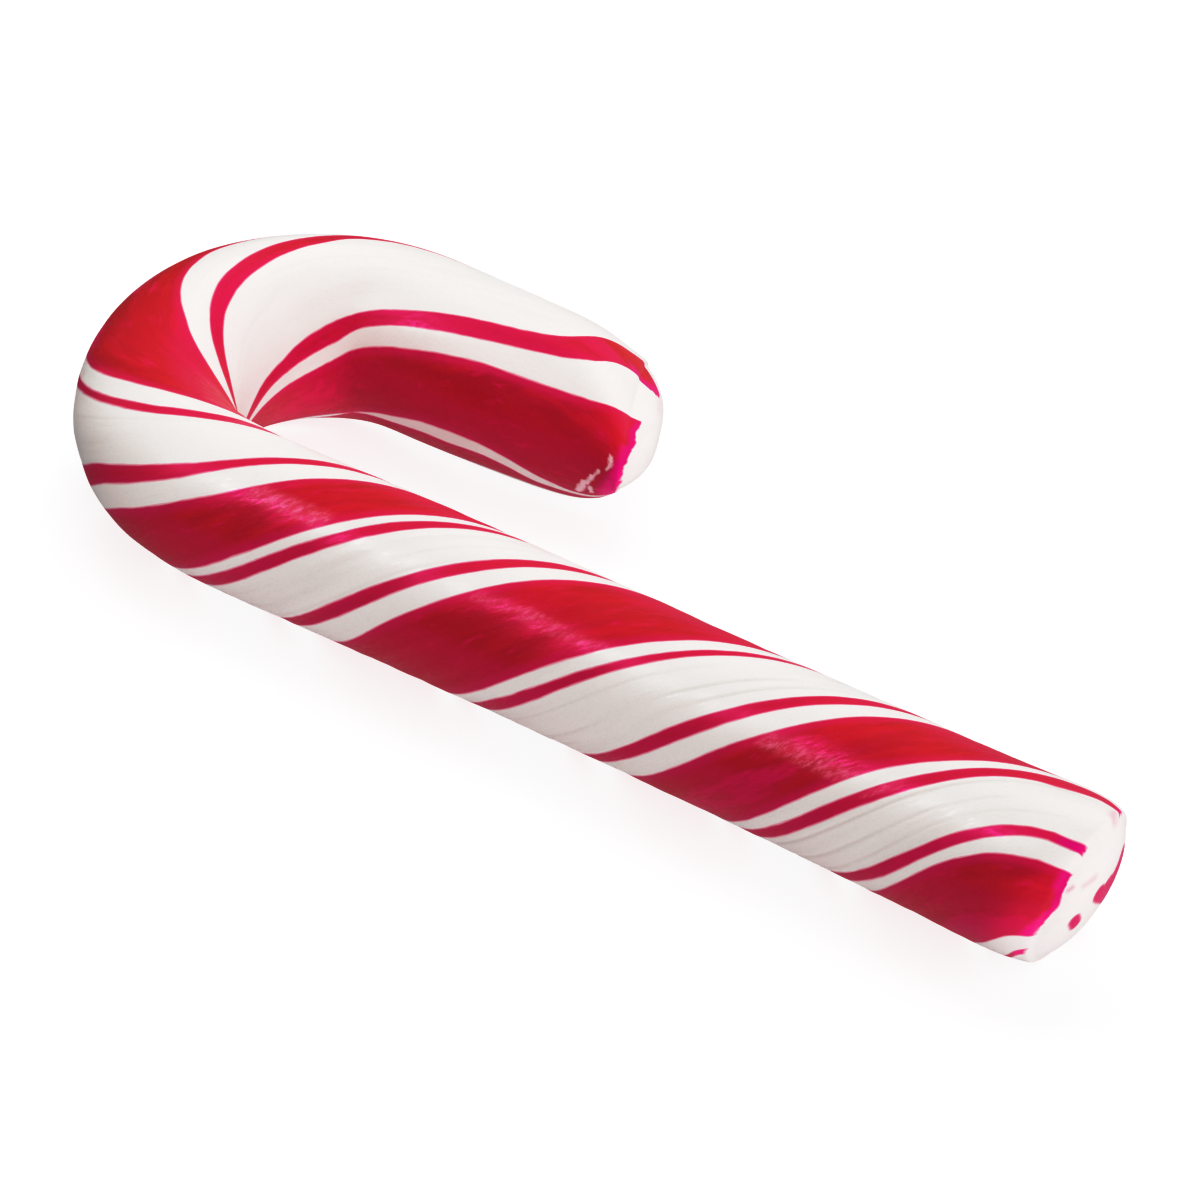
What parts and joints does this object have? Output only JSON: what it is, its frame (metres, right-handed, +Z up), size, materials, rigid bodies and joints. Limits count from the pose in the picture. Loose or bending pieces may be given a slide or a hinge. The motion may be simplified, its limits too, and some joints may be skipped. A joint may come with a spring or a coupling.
{
  "type": "candy cane",
  "caption": "Stout hard-candy cane lying on its side: a twisted red and white striped rod bent into a crook, with pinched, slanting snipped ends.",
  "frame": {"origin": "under the middle of the crook's box, on the surface that the cane lies on", "axes": "+X along the shaft to its free end, +Y across to the hook's arm, +Z up"},
  "size_m": [0.1426, 0.055, 0.0184],
  "materials": {
    "candy": "glossy boiled sugar in deep red and milky white twisted stripes"
  },
  "bodies": {
    "root": {"cane": "candy"}
  },
  "joints": []
}
